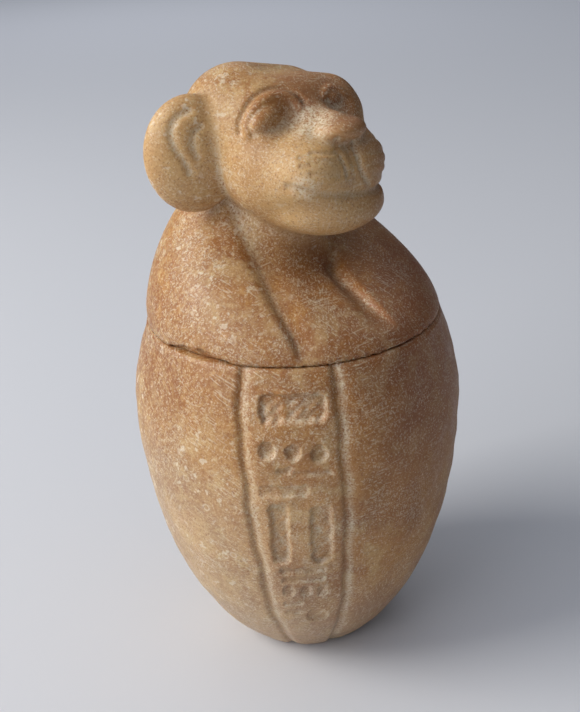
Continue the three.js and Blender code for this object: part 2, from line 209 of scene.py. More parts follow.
stone, stone_tree = new_material("honey_calcite")
place = add_node(stone_tree, "ShaderNodeTexCoord").outputs["Object"]
sideways, _, height = add_node(stone_tree, "ShaderNodeSeparateXYZ", {"Vector": place}).outputs
# The pale marks stored on the meshes: dust in hollows and cuts, and on the jar a painted
# highlight along the lit walls of its grooves and strokes.
carving_dust_and_highlight = add_node(stone_tree, "ShaderNodeAttribute", attribute_name="dust_and_highlight").outputs["Fac"]


def patches(size_mm, detail=3.0, offset=(0, 0, 0), stretch=(1, 1, 1), spin=(0, 0, 0)):
    """Cloudy patches of a real size in the stone, moved, turned and stretched."""
    moved = add_node(stone_tree, "ShaderNodeMapping", {
        "Vector": place, "Location": offset, "Rotation": spin, "Scale": stretch},
        vector_type="TEXTURE")
    cloudy = add_node(stone_tree, "ShaderNodeTexNoise", {
        "Vector": moved.outputs["Vector"], "Scale": per_metre(size_mm), "Detail": detail})
    return cloudy.outputs["Fac"]


def together(*masks, by="MULTIPLY"):
    """Masks combined into one. A mask is a number, a socket, or a socket with the two values
    between which it rises softly from none to all."""
    combined = None
    for mask in masks:
        if isinstance(mask, tuple):
            source, none_at, all_at = mask
            mask = add_node(stone_tree, "ShaderNodeMapRange", {
                "Value": source, "From Min": none_at, "From Max": all_at},
                interpolation_type="SMOOTHSTEP").outputs["Result"]
        if combined is None:
            combined = mask
        else:
            combined = add_node(
                stone_tree, "ShaderNodeMath", {0: combined, 1: mask}, operation=by).outputs[0]
    return combined


def around(spot):
    """A mask that is all at the middle of a spot and none at its reach."""
    middle, reach = spot
    away = add_node(
        stone_tree, "ShaderNodeVectorMath", {0: place, 1: middle}, operation="DISTANCE")
    return together((away.outputs["Value"], reach, SPOT_CORE * reach))


clouds = patches(CLOUD_MM)
red_clouds = patches(RED_CLOUD_MM, offset=(0.3, 0.1, 0.2))
pale_clouds = patches(PALE_CLOUD_MM, 4.0, offset=(0.1, 0.6, 0.5))
mottle = patches(MOTTLE_MM, 5.0, offset=(0.7, 0.0, 0.4))
specks = patches(SPECK_MM, 2.0, offset=(0.2, 0.9, 0.3))
flecks = patches(FLECK_MM, 3.0, offset=(0.4, 0.4, 0.1))
grains = patches(GRAIN_MM, 2.0)

# The crystals show as pale rings round their middles.
crystals = add_node(stone_tree, "ShaderNodeTexVoronoi", {
    "Vector": place, "Scale": per_metre(CRYSTAL_MM), "Randomness": 1.0},
    feature="F1").outputs["Distance"]

# The left side, towards the window, is painted paler as a sheen, with dust below; the right
# side, away from it, is painted darker and redder as shade and has fewer pale scratches. The
# shoulders and the rim are redder with rust.
lit_left_sheen = together((sideways, 0.030, -0.048))
lit_low_left_sheen_and_dust = together((height, 0.100, 0.05), lit_left_sheen)
shaded_right_side = together((sideways, 0.005, 0.04), (height, 0.04, 0.09))
near_rim = together((height, 0.080, 0.102), (height, 0.145, 0.118))
rust_stain = together(
    together((red_clouds, 0.5, 0.66), 0.6), together(near_rim, 0.5), by="MAXIMUM")
# Fewer pale scratches on the right side, part of its painted shade.
scratch_share_less_in_shade = add_node(stone_tree, "ShaderNodeMapRange", {
    "Value": shaded_right_side, "To Min": 1.0, "To Max": 0.45}).outputs["Result"]
face_dust = together(around(EYE_CORNER_SPOT), around(LIP_SPOT), by="MAXIMUM")
packed_dust_and_highlight = together(carving_dust_and_highlight, together(face_dust, (flecks, 0.30, 0.55)), by="MAXIMUM")

LAYERS = [
    # Colour, how much of it at most, and where it lies, from the lowest layer up.
    (AMBER, 1.0, (clouds, 0.40, 0.62)),
    (RUST, 1.0, rust_stain, (mottle, 0.3, 0.55)),
    (CREAM, 0.46, (mottle, 0.44, 0.62), (pale_clouds, 0.34, 0.62)),
    (CREAM, 0.22, (flecks, 0.52, 0.70)),
    (AMBER, 0.35, (flecks, 0.47, 0.32)),
    # Painted sheen: pale flecks on the left side, towards the window.
    (CREAM, 0.3, lit_left_sheen, (flecks, 0.35, 0.65)),
    (STRAW, 0.65, around(CHEEK_SPOT)),
    (STRAW, 0.55, around(EAR_SPOT)),
    (RUST, 0.45, together(around(BROW_SPOT), around(NOSE_SPOT), by="MAXIMUM")),
    # Painted shade: the right side, away from the window, darker and redder.
    (RUST, 0.6, shaded_right_side),
    # Painted sheen with dust, low on the left side.
    (DUST_AND_HIGHLIGHT, 0.3, lit_low_left_sheen_and_dust),
    (DUST_AND_HIGHLIGHT, 0.25, (height, 0.045, 0.0)),
    # Crystals, more of them low on the left under the painted sheen.
    (CRYSTAL, 0.75, (crystals, 0.10, 0.18), (crystals, 0.27, 0.19), lit_low_left_sheen_and_dust,
     (pale_clouds, 0.45, 0.6)),
]
# Pale scratches from a rasp, fewer on the right side, where its painted shade lies.
for spin in SCRATCH_TURNS:
    strokes = patches(SCRATCH_MM, 1.0, offset=(spin, 0, 0), stretch=(1, 1, SCRATCH_STRETCH),
                      spin=(1.7 * spin, spin, 0))
    rasped_patches = patches(RASPED_PATCH_MM, 1.0, offset=(0, spin, 0))
    LAYERS.append((DUST_AND_HIGHLIGHT, 0.42, scratch_share_less_in_shade, (strokes, 0.60, 0.68), (rasped_patches, 0.44, 0.60)))
LAYERS += [
    # Painted sheen: crystal specks on the left side, towards the window.
    (CRYSTAL, 0.7, lit_left_sheen, (specks, 0.62, 0.68), (pale_clouds, 0.38, 0.55)),
    (CRYSTAL, 0.42, (grains, 0.56, 0.74)),
    (RUST, 0.55, (grains, 0.45, 0.26)),
    # Dust in cuts and hollows, with the painted highlight along the jar's lit cut edges.
    (DUST_AND_HIGHLIGHT, 0.75, packed_dust_and_highlight, (grains, 0.28, 0.60)),
]

# In the mix of two colours, socket 0 is the share, and 6 and 7 are the lower and upper one.
stone_colour = linear(HONEY)
for paint, *masks in LAYERS:
    stone_colour = add_node(stone_tree, "ShaderNodeMix", {
        0: together(*masks), 6: stone_colour, 7: linear(paint)}, data_type="RGBA").outputs[2]

# Rubbed calcite: it lets a little light in, and is glossier where it was rubbed more.
fine_relief = together(mottle, together(grains, 0.35), by="ADD")
fine_bumps = add_node(stone_tree, "ShaderNodeBump", {
    "Strength": 0.35, "Distance": 0.0004, "Height": fine_relief})
rubbed = add_node(stone_tree, "ShaderNodeMapRange", {
    "Value": mottle, "From Min": 0.3, "From Max": 0.7, "To Min": 0.42, "To Max": 0.62})
calcite = add_node(stone_tree, "ShaderNodeBsdfPrincipled", {
    "Base Color": stone_colour, "Roughness": rubbed.outputs["Result"],
    "Normal": fine_bumps.outputs["Normal"], "IOR": 1.5, "Subsurface Weight": 0.18,
    "Subsurface Radius": (1.0, 0.45, 0.2), "Subsurface Scale": 0.004})
add_node(stone_tree, "ShaderNodeOutputMaterial", {"Surface": calcite.outputs["BSDF"]})


# The jar: stone shaped and rubbed to an egg by hand, hollowed from its mouth, with a flat
# foot. A column of signs runs down its front between two gouged grooves: here they are only
# rows of shallow strokes. Sizes are in millimetres from the foot's centre.
jar_far_corner = np.array(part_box("jar")[1]) * 1000
JAR_HEIGHT = jar_far_corner[2]
BELLY_RADIUS = jar_far_corner[0]
BELLY_HEIGHT = 77.0
FOOT_RADIUS = 21.0
FOOT_ROUND = 1.2
RIM_RADIUS = 42.4
RIM_ROUND = 0.8
MOUTH_RADIUS = 29.0
MOUTH_DEPTH = 9.0
MOUTH_BEVEL = 0.5
SHOULDER_DROP = 5.0
WALL = 9.0
FLOOR = 13.0

# The carved column: degrees round from the front, at the foot and at the rim.
COLUMN_MIDDLE = (1.5, -3.2)
COLUMN_HALF = (15.0, 16.2)
SIGNS_HALF = 15
GROOVE_DEPTH = 1.1
GROOVE_SHIFT = 0.6
GROOVE_STEEP, GROOVE_SLOPE = 0.9, 2.3
# The pale band beside each groove, dust with a painted highlight on its lit wall: how strong, how
# far from the groove's middle, and how wide.
GROOVE_DUST_AND_HIGHLIGHT = 0.95
GROOVE_HIGHLIGHT_PLACE, GROOVE_HIGHLIGHT_WIDTH = 1.5, 0.8

STROKES = [
    # Kind, middle across and up, length across and up, depth.
    ("bar", (-1.7, 97.1), (17.2, 7.0), 1.3),
    ("pit", (-9.0, 86.0), (4.8, 5.0), 1.4),
    ("pit", (-2.3, 85.5), (4.4, 4.6), 1.3),
    ("pit", (4.8, 84.9), (4.6, 4.8), 1.3),
    ("pit", (-4.9, 80.1), (4.2, 2.4), 0.7),
    ("bar", (2.8, 79.2), (10.6, 1.0), 0.45),
    ("bar", (-5.4, 73.9), (13.2, 3.2), 0.6),
    ("bar", (-6.9, 59.6), (4.6, 20.5), 1.4),
    ("bar", (4.5, 58.9), (5.4, 19.6), 1.3),
    ("bar", (-1.0, 46.0), (12.5, 2.0), 0.7),
    ("bar", (-1.0, 42.2), (12.0, 1.8), 0.6),
    ("pit", (-5.6, 37.6), (3.6, 4.6), 0.8),
    ("pit", (-0.6, 37.4), (3.4, 4.8), 0.8),
    ("pit", (4.2, 37.2), (3.4, 4.6), 0.8),
    ("bar", (-4.4, 31.6), (5.4, 1.8), 0.6),
    ("bar", (-4.4, 27.4), (4.2, 1.8), 0.6),
    ("pit", (2.4, 25.0), (6.4, 6.8), 0.9),
]
STROKE_WANDER = 0.22
BAR_WALL = 0.35
BAR_CORNER = 0.3
BAR_ROUGHNESS = 0.16

# What shaping by hand left: the height and length of slow waves, and the seed of each.
HAND_WAVES = [(0.28, 26, 1), (0.1, 8, 2)]
TOOL_MARK_HEIGHT, TOOL_MARK_LENGTH, TOOL_MARK_SEED = 0.03, 2.2, 3
# How the pale marks in the jar's cuts, dust and painted highlight, come and go.
PALE_PATCH_LENGTH, PALE_PATCH_SEED = 6, 5
WORN_AWAY = 0.25
EDGE_FADE = 3.0

# The jar's mesh: close together in front, where it is carved, and wide apart elsewhere.
FRONT_DEGREES = 24
FRONT_STEP, PLAIN_STEP = 0.42, 2.6
OUTSIDE_ROWS, INSIDE_ROWS, ROUND_ROWS = 232, 30, 5


def wall_radius(z):
    """The jar's outside: two quarter ellipses that meet at the belly."""
    above, below = JAR_HEIGHT - BELLY_HEIGHT, BELLY_HEIGHT
    upper = above / np.sqrt(1 - (RIM_RADIUS / BELLY_RADIUS) ** 2)
    lower = below / np.sqrt(1 - (FOOT_RADIUS / BELLY_RADIUS) ** 2)
    share = (z - BELLY_HEIGHT) / np.where(z > BELLY_HEIGHT, upper, lower)
    return BELLY_RADIUS * np.sqrt(1 - share ** 2)


def waves(p, size, seed):
    """Slow, smooth unevenness of about one unit, the same each run."""
    rng = np.random.default_rng(seed)
    total = 0
    for _ in range(7):
        way = rng.normal(size=3)
        way *= 2 * np.pi / (size * rng.uniform(0.7, 1.5)) / np.linalg.norm(way)
        total = total + np.sin(p[0] * way[0] + p[1] * way[1] + p[2] * way[2] + rng.uniform(0, 7))
    return total / 2.6


def to_bar(x, z, across, up, corner):
    """How far points are inside (negative) or outside a bar with rounded corners."""
    dx = np.abs(x) - across / 2 + corner
    dz = np.abs(z) - up / 2 + corner
    outside = np.hypot(np.maximum(dx, 0), np.maximum(dz, 0))
    return outside + np.minimum(np.maximum(dx, dz), 0) - corner


def sunken(away, wall_width=0.5):
    """The wall of a sunken form: 1 inside it and 0 outside."""
    return 1 / (1 + np.exp(np.clip(away / (wall_width / 2), -30, 30)))


def groove_cuts(x, z):
    """Depth of the two grooves beside the column, and a pale band on each one's lit right wall:
    dust with a painted highlight.
    """
    radius = wall_radius(z)
    share = z / JAR_HEIGHT
    middle = np.radians(COLUMN_MIDDLE[0] + (COLUMN_MIDDLE[1] - COLUMN_MIDDLE[0]) * share)
    half = np.radians(COLUMN_HALF[0] + (COLUMN_HALF[1] - COLUMN_HALF[0]) * share)
    depth, dust_and_highlight = np.zeros_like(x), np.zeros_like(x)
    for side in (-1, 1):
        wobble = 0.25 * np.sin(z / 5.1 + side) + 0.2 * np.sin(z / 2.3)
        away = x - (middle + side * half) * radius - wobble + GROOVE_SHIFT
        slope = GROOVE_SLOPE + 0.3 * np.sin(z / 7.0 + 2 * side)
        width = np.where(away < 0, GROOVE_STEEP, slope)
        depth = np.maximum(depth, GROOVE_DEPTH * np.exp(-np.abs(away / width) ** 1.7))
        # Dust and a painted highlight on the groove's right wall, which faces the window.
        from_highlight_band = (away - GROOVE_HIGHLIGHT_PLACE) / GROOVE_HIGHLIGHT_WIDTH
        dust_and_highlight = np.maximum(dust_and_highlight, GROOVE_DUST_AND_HIGHLIGHT * np.exp(-from_highlight_band ** 2))
    return depth, dust_and_highlight


def stroke_cuts(x, z, rough):
    """Depth of the rows of strokes, a painted highlight along their lit edges, and the dust on
    their floors.
    """
    depth, dust_and_highlight = np.zeros_like(x), np.zeros_like(x)
    for kind, middle, (across, up), deep in STROKES:
        dx = x + STROKE_WANDER * rough - middle[0]
        dz = z + STROKE_WANDER * rough - middle[1]
        if kind == "pit":
            near = np.hypot(dx / across, dz / up) * 2
            cut = deep * np.sqrt(np.clip(1 - near ** 2.5, 0, 1))
            away = (near - 1) * min(across, up) / 2
        else:
            away = to_bar(dx, dz, across, up, min(across, up) * BAR_CORNER)
            cut = deep * sunken(away, BAR_WALL) * (1 + BAR_ROUGHNESS * rough)
        # Painted highlight along the right and lower edges, which face the window, and dust on
        # the floor.
        edge = np.exp(-((away + 0.15) / 0.6) ** 2)
        lit_side = np.clip(0.55 + 1.2 * dx / across - 0.8 * dz / up, 0, 1.1)
        on_floor = sunken(away + 0.5) * np.clip(0.15 + 0.45 * rough, 0, 1)
        dust_and_highlight = np.maximum(dust_and_highlight, edge * lit_side + on_floor)
        depth = np.maximum(depth, cut)
    return depth, dust_and_highlight


def mesh_object(name, vertices, faces, dust_and_highlight):
    """A smooth mesh object from arrays in millimetres, with the dust and painted highlight on
    each vertex.
    """
    mesh = bpy.data.meshes.new(name)
    mesh.vertices.add(len(vertices))
    mesh.vertices.foreach_set("co", (vertices / 1000).astype(np.float32).ravel())
    sides = np.concatenate([np.full(len(group), group.shape[1]) for group in faces])
    starts = np.concatenate([[0], np.cumsum(sides)[:-1]])
    numbers = np.concatenate([group.ravel() for group in faces])
    mesh.loops.add(len(numbers))
    mesh.loops.foreach_set("vertex_index", numbers.astype(np.int32))
    mesh.polygons.add(len(sides))
    mesh.polygons.foreach_set("loop_start", starts.astype(np.int32))
    mesh.polygons.foreach_set("use_smooth", np.ones(len(sides), dtype=bool))
    mesh.update(calc_edges=True)
    layer = mesh.attributes.new("dust_and_highlight", "FLOAT", "POINT")
    layer.data.foreach_set("value", dust_and_highlight.astype(np.float32))
    piece = bpy.data.objects.new(name, mesh)
    bpy.context.collection.objects.link(piece)
    return piece


def jar_mesh():
    """The outside with its carving, the rim, the hollow and the foot, as one closed skin."""
    headings = np.radians(np.concatenate([
        np.arange(-FRONT_DEGREES, FRONT_DEGREES, FRONT_STEP),
        np.arange(FRONT_DEGREES, 360 - FRONT_DEGREES, PLAIN_STEP)]))
    bend = np.linspace(0, np.pi / 2, ROUND_ROWS)
    foot_r = FOOT_RADIUS - FOOT_ROUND * 0.6 + FOOT_ROUND * 0.6 * np.sin(bend[:-1])
    foot_z = FOOT_ROUND * (1 - np.cos(bend[:-1]))
    outside_z = np.linspace(FOOT_ROUND, JAR_HEIGHT - RIM_ROUND, OUTSIDE_ROWS)
    rim_r = RIM_RADIUS - RIM_ROUND + RIM_ROUND * np.cos(bend[1:])
    rim_z = JAR_HEIGHT - RIM_ROUND + RIM_ROUND * np.sin(bend[1:])
    throat_z = JAR_HEIGHT - MOUTH_DEPTH
    inside_z = np.linspace(throat_z - SHOULDER_DROP, FLOOR, INSIDE_ROWS)
    radius = np.concatenate([
        [8.0, 16.0], foot_r, wall_radius(outside_z), rim_r,
        [36.0, MOUTH_RADIUS + MOUTH_BEVEL, MOUTH_RADIUS, MOUTH_RADIUS],
        wall_radius(inside_z) - WALL, [12.0, 5.0]])
    level = np.concatenate([
        [0.0, 0.0], foot_z, outside_z, rim_z,
        [JAR_HEIGHT, JAR_HEIGHT, JAR_HEIGHT - MOUTH_BEVEL, throat_z],
        inside_z, [FLOOR, FLOOR]])
    rows, columns = len(radius), len(headings)
    radius_grid = np.repeat(radius[:, None], columns, 1)
    z_grid = np.repeat(level[:, None], columns, 1)

    first = 2
    carved = slice(first, first + len(foot_r) + len(outside_z) + len(rim_r))
    from_front = np.where(headings > np.pi, headings - 2 * np.pi, headings)
    heading = np.broadcast_to(from_front, (rows, columns))[carved]
    z = z_grid[carved]
    p = (radius_grid[carved] * np.sin(heading), -radius_grid[carved] * np.cos(heading), z)
    rough = waves(p, TOOL_MARK_LENGTH, TOOL_MARK_SEED)
    x = heading * wall_radius(z)
    grooves, groove_dust_and_highlight = groove_cuts(x, z)
    strokes, stroke_dust_and_highlight = stroke_cuts(x, z, rough)
    in_column = sunken(np.abs(heading) - np.radians(SIGNS_HALF), np.radians(1.0))
    depth = np.maximum(grooves, strokes * in_column)
    carved_dust_and_highlight = np.maximum(groove_dust_and_highlight, stroke_dust_and_highlight * in_column)
    uneven = sum(high * waves(p, length, seed) for high, length, seed in HAND_WAVES)
    uneven = uneven + TOOL_MARK_HEIGHT * rough
    fade = np.clip(np.minimum(z / EDGE_FADE, (JAR_HEIGHT - z) / EDGE_FADE), 0, 1)

    shaped = radius_grid.copy()
    shaped[carved] = radius_grid[carved] - depth + uneven * fade - WORN_AWAY * fade
    dust_and_highlight = np.zeros_like(shaped)
    # The pale marks in the cuts: dust, and a painted highlight on the lit walls.
    dust_and_highlight[carved] = carved_dust_and_highlight * (0.75 + 0.25 * waves(p, PALE_PATCH_LENGTH, PALE_PATCH_SEED))
    rings = np.stack([shaped * np.sin(headings), -shaped * np.cos(headings), z_grid], -1)
    vertices = np.concatenate([[[0, 0, 0]], rings.reshape(-1, 3), [[0, 0, FLOOR]]])
    index = 1 + np.arange(rows * columns).reshape(rows, columns)
    following = np.roll(index, -1, axis=1)
    quads = np.stack([index[:-1], following[:-1], following[1:], index[1:]], -1).reshape(-1, 4)
    foot_fan = np.stack([np.zeros(columns, int), following[0], index[0]], -1)
    floor_fan = np.stack([np.full(columns, len(vertices) - 1), index[-1], following[-1]], -1)
    dust_and_highlight = np.clip(np.concatenate([[0], dust_and_highlight.ravel(), [0]]), 0, 1)
    return mesh_object("stone_jar", vertices, [quads, foot_fan, floor_fan], dust_and_highlight)


jar = jar_mesh()
jar.data.materials.append(stone)
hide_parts("jar")
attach(jar, "root")


# The lid: one block of the same stone, carved as a baboon's head and shoulders in a short
# cape of fur. A spigot below it sits in the jar's mouth, and it only rests there, turned to
# one side. Its forms are distances in millimetres, negative inside, measured from the seam.
LID_TURN = np.radians(42.0)
SEAM = JAR_HEIGHT + 0.3
LID_EDGE = RIM_RADIUS - 0.3
SPIGOT_HEIGHT = 6.0
SPIGOT_RADIUS = MOUTH_RADIUS - 1.0
HEAD = np.array([-2.2, 2.0])


def at(side, forward, up):
    """A place on the figure: to its left, in front of its middle and above the seam."""
    return np.array([HEAD[0] + side, HEAD[1] - forward, up])


def to_ellipsoid(p, centre, radii):
    """Distance to an ellipsoid."""
    u = [(p[i] - centre[i]) / radii[i] for i in range(3)]
    near = np.sqrt(u[0] ** 2 + u[1] ** 2 + u[2] ** 2)
    slope = np.sqrt(sum((u[i] / radii[i]) ** 2 for i in range(3)))
    return near * (near - 1) / np.maximum(slope, 1e-6)


def to_limb(p, a, b, radius_a, radius_b):
    """Distance to a rounded limb from a to b whose thickness changes on the way."""
    along = b - a
    share = sum((p[i] - a[i]) * along[i] for i in range(3)) / (along @ along)
    share = np.clip(share, 0, 1)
    away = np.sqrt(sum((p[i] - a[i] - along[i] * share) ** 2 for i in range(3)))
    return away - radius_a - (radius_b - radius_a) * share


def to_path(p, places):
    """Distance to a line through several places."""
    return np.minimum.reduce([to_limb(p, a, b, 0, 0) for a, b in zip(places, places[1:])])


def join(a, b, soft):
    """Two forms that run into each other over a soft width."""
    near = np.maximum(soft - np.abs(a - b), 0) / soft
    return np.minimum(a, b) - near * near * soft / 4


def carve(a, b, soft):
    """The second form cut out of the first, with a soft edge."""
    return -join(-a, b, soft)


def mirrored(p):
    """The same places with the head's far side folded onto its near side."""
    return (HEAD[0] + np.abs(p[0] - HEAD[0]), p[1], p[2])


SHOULDER_HEIGHT, SHOULDER_LEAN = 35.5, 18
SHOULDER_RADIUS = RIM_RADIUS + 0.3
NAPE_ROUND = 8


def shoulders(p):
    """A dome over the whole lid, higher behind than in front."""
    away = np.sqrt(p[0] ** 2 + p[1] ** 2 + NAPE_ROUND ** 2)
    tall = SHOULDER_HEIGHT + SHOULDER_LEAN * p[1] / away
    return to_ellipsoid(p, (0, 0, -3), (SHOULDER_RADIUS, SHOULDER_RADIUS, tall))


def neck(p):
    """A thick round neck, hardly narrower above."""
    return to_limb(p, at(-1, -3, 12), at(0, 0, 40), 17, 15)


def skull(p):
    """The low crown, the broad face, the heavy brow and the far cheekbone."""
    crown = to_limb(p, at(-7.5, -5, 54.2), at(7.5, -5, 51.8), 15.5, 15)
    front = to_ellipsoid(p, at(0, 7, 46), (20, 15, 18.5))
    brow = to_limb(p, at(-9.5, 8, 58.3), at(12.4, 9.8, 58.8), 5, 5.8)
    cheekbone = to_ellipsoid(p, at(11.2, 11.2, 55), (8.5, 7.5, 6))
    return join(join(join(crown, brow, 8), front, 6), cheekbone, 4)


def muzzle(p):
    """The broad snout, its two whisker pads and the jaw below."""
    snout = to_ellipsoid(p, at(0, 9.5, 43), (19.5, 20, 13))
    pads = to_ellipsoid(mirrored(p), at(7.5, 21.3, 44.6), (9, 9, 8))
    jaw = to_ellipsoid(p, at(2.5, 17.2, 34), (16, 14.5, 8.2))
    return join(join(snout, pads, 5), jaw, 4)


def nose(p):
    """A straight ridge that ends in a flat, wide tip."""
    ridge = to_limb(p, at(-1, 12, 57.6), at(0.3, 22, 55.3), 3.3, 3.3)
    tip = to_ellipsoid(p, at(1.1, 24.5, 54.5), (6.9, 5.9, 3.1))
    return join(ridge, tip, 2.5)


EYES = [
    # Middle, slope, and half lengths across, forward and up.
    (at(-12, 11.9, 57.7), 0.2, (5.9, 3.1, 3.5)),
    (at(6.9, 14.4, 60), -0.1, (3.4, 3, 2.4)),
]
SOCKET_SHIFT = [0, -5.8, 1]
SOCKET_DEPTH = 3.2
SOCKET_ROOM_ACROSS, SOCKET_ROOM_UP = 0.9, 0.7


def almond(p, centre, slope, radii):
    """An eye's almond, lower at its outer corner."""
    return to_ellipsoid((p[0], p[1], p[2] - slope * (p[0] - centre[0])), centre, radii)


def face(p):
    """The skull with its muzzle, sockets, nose and eyeballs."""
    d = join(skull(p), muzzle(p), 6)
    for centre, slope, (wide, _, tall) in EYES:
        room = (wide + SOCKET_ROOM_ACROSS, SOCKET_DEPTH, tall + SOCKET_ROOM_UP)
        d = carve(d, almond(p, centre + SOCKET_SHIFT, slope, room), 3)
    d = join(d, nose(p), 2.5)
    for centre, slope, radii in EYES:
        d = join(d, almond(p, centre, slope, radii), 0.6)
    return d


def laid_on(form, places):
    """A smoothed line on the front of a form, from places given as side and up.

    Each place comes towards the form from in front, by most of its distance each time, and
    the line's corners are then cut off twice."""
    found = []
    for side, up in places:
        place_on_form = at(side, 45, up)
        for _ in range(60):
            place_on_form[1] += 0.8 * float(form(place_on_form))
        found.append(place_on_form)
    for _ in range(2):
        pairs = list(zip(found, found[1:]))
        cut = [part for a, b in pairs for part in (a * 0.75 + b * 0.25, a * 0.25 + b * 0.75)]
        found = [found[0]] + cut + [found[-1]]
    return found


# Lines cut in the face with a sharp point, as side and up. The right and the left are the
# figure's own, and the left is the far side.
RIGHT_EYELID = laid_on(face, [
    (-18.3, 54.6), (-17.9, 57), (-16.8, 59.4), (-12.8, 62.8), (-8.7, 63.7), (-5.5, 62.2),
    (-5, 60)])
LEFT_EYELID = laid_on(face, [(3.4, 61.2), (6.2, 63), (9, 62.6), (10.6, 60.8)])
RIGHT_BROW = laid_on(face, [
    (-19, 55.4), (-18.6, 57.4), (-16.4, 61.2), (-12.6, 64.2), (-7.6, 64.9), (-4.4, 63.6),
    (-3.6, 61.4)])
MOUTH = laid_on(face, [
    (-16.8, 43), (-15, 41.9), (-10, 40.6), (-3, 39.2), (3, 38.2), (10, 37.4), (16, 38.4)])
UPPER_LIP = [laid_on(face, line) for line in (
    [(-3.5, 53), (-3.8, 49), (-3, 44.4)],
    [(2.4, 50.8), (2, 47.5), (2.4, 43.6), (5.6, 39.8)])]
RIGHT_WHISKERS = [laid_on(face, line) for line in (
    [(-11, 50.9), (-7, 50), (-4.6, 50)],
    [(-13.6, 50), (-9, 48.7), (-4.8, 48.5)],
    [(-12.6, 48.9), (-9, 47.9), (-5, 47.2)],
    [(-14.4, 48.2), (-10, 46.8), (-5.2, 46)],
    [(-13.2, 46.4), (-9, 45.4), (-5.4, 44.9)])]
LEFT_WHISKERS = [laid_on(face, [(6.5, up), (11, up - 0.5), (15, up - 2)])
                 for up in (51, 48.2, 45.2, 42.4)]
FACE_CUTS = [
    # Lines, half width and depth. A negative depth raises a ridge.
    ([RIGHT_BROW], 0.7, 0.9),
    ([RIGHT_EYELID, LEFT_EYELID], 0.9, -0.8),
    (UPPER_LIP, 0.8, 0.9),
    (RIGHT_WHISKERS, 0.6, 0.75),
    (LEFT_WHISKERS, 0.7, 0.25),
    ([MOUTH], 1.0, 1.1),
    ([MOUTH[5:]], 0.8, 0.6),
]


def scored(d, p, lines, half_width, depth):
    """A form with soft grooves cut in it along lines."""
    for line in lines:
        d = d + depth * np.exp(-(to_path(p, line) / half_width) ** 2)
    return d


def head(p):
    """The face with its lines."""
    d = face(p)
    for lines, half_width, depth in FACE_CUTS:
        d = scored(d, p, lines, half_width, depth)
    return d


EAR_SWEEP = 0.35
EARS = [
    # Middle, half lengths, and which way the ear is swept.
    (at(-23.4, -5.6, 48.5), (12, 7, 15.5), 1),
    (at(23, -6, 47.3), (12, 7, 13.4), -1),
]


def plain_ears(p):
    """Two broad round ears, swept back so that each looks a little outwards."""
    return np.minimum.reduce([
        to_ellipsoid((p[0], p[1] + way * EAR_SWEEP * (p[0] - middle[0]), p[2]), middle, radii)
        for middle, radii, way in EARS])


EAR_FOLDS = [laid_on(plain_ears, line) for line in (
    [(-26, 60.5), (-29.5, 59), (-31.3, 55.5), (-31, 51.5), (-29, 48), (-28.3, 45)],
    [(-24.5, 56.5), (-26.5, 55), (-27.2, 52), (-26.5, 49)])]


def ears(p):
    """The ears with the two folds inside the near one."""
    return scored(plain_ears(p), p, EAR_FOLDS, 0.9, 0.9)


def body(p):
    """Shoulders, neck, head and ears as one form."""
    d = join(shoulders(p), neck(p), 7)
    return join(d, join(head(p), ears(p), 1.5), 2)


CAPE_FOLDS = [
    # Places from the neck down, as degrees round from the lid's own front and height, then
    # the depth, and the half widths towards the figure's right and left.
    (((-105, 36), (-99, 34), (-91.4, 30.3), (-82.2, 26.9), (-73.6, 23.6), (-65.5, 20.3),
      (-60.1, 18), (-55.6, 15.7), (-51.2, 13), (-47, 10.2), (-43.3, 6.9), (-41, 3.7),
      (-39.8, 0)), 1.35, 0.8, 3.6),
    (((24, 18.5), (17.7, 16.7), (8.9, 14.6), (3, 12.7), (-0.1, 10.8), (-1.2, 8.8),
      (-1, 6.7), (0, 4)), 1.8, 3.2, 0.8),
]


def cape_fold(p, places, depth, right_width, left_width):
    """A crease with a steep wall on the cape's side and a long slope on the chest's side."""
    degrees, heights = np.array(places[::-1]).T
    heading = np.degrees(np.arctan2(p[0], -p[1]))
    away = np.radians(heading - np.interp(p[2], heights, degrees)) * np.hypot(p[0], p[1]) * 0.75
    ends = np.clip((p[2] - heights[0]) / 4, 0, 1) * np.clip((heights[-1] - p[2]) / 4, 0, 1)
    return depth * ends * np.exp(-(away / np.where(away < 0, right_width, left_width)) ** 2)


CHIP_DEGREES = np.arange(-97, -64, 4)
CHIP_HEIGHTS = [0, 0.9, 1.6, 2.6, 1.9, 2.4, 1.3, 0.7, 0]
CHIP_DEPTH = 2.2
CHIP_SLOPE = 0.3
CHIP_RAGGED_HEIGHT, CHIP_RAGGED_LENGTH, CHIP_SEED = 0.25, 2.5, 8


def chip(p):
    """A flake lost from the lid's lower edge, ragged above."""
    top = np.interp(np.degrees(np.arctan2(p[0], -p[1])), CHIP_DEGREES, CHIP_HEIGHTS)
    ragged = CHIP_RAGGED_HEIGHT * waves(p, CHIP_RAGGED_LENGTH, CHIP_SEED)
    top = top + ragged * (top > 0.3)
    back = RIM_RADIUS - CHIP_DEPTH + CHIP_SLOPE * p[2]
    return np.maximum(p[2] - top, back - np.hypot(p[0], p[1]))


UNDERSIDE_INSET = 0.9
UNDERSIDE_SLOPE = 0.6
UNDERSIDE_DROP = 0.22


def underside(p):
    """The flat underside, which comes down to the jar a little inside its edge."""
    from_edge = RIM_RADIUS - UNDERSIDE_INSET - np.hypot(p[0], p[1])
    inside = np.clip(from_edge / UNDERSIDE_SLOPE, 0, 1)
    return -(p[2] + UNDERSIDE_DROP * inside)


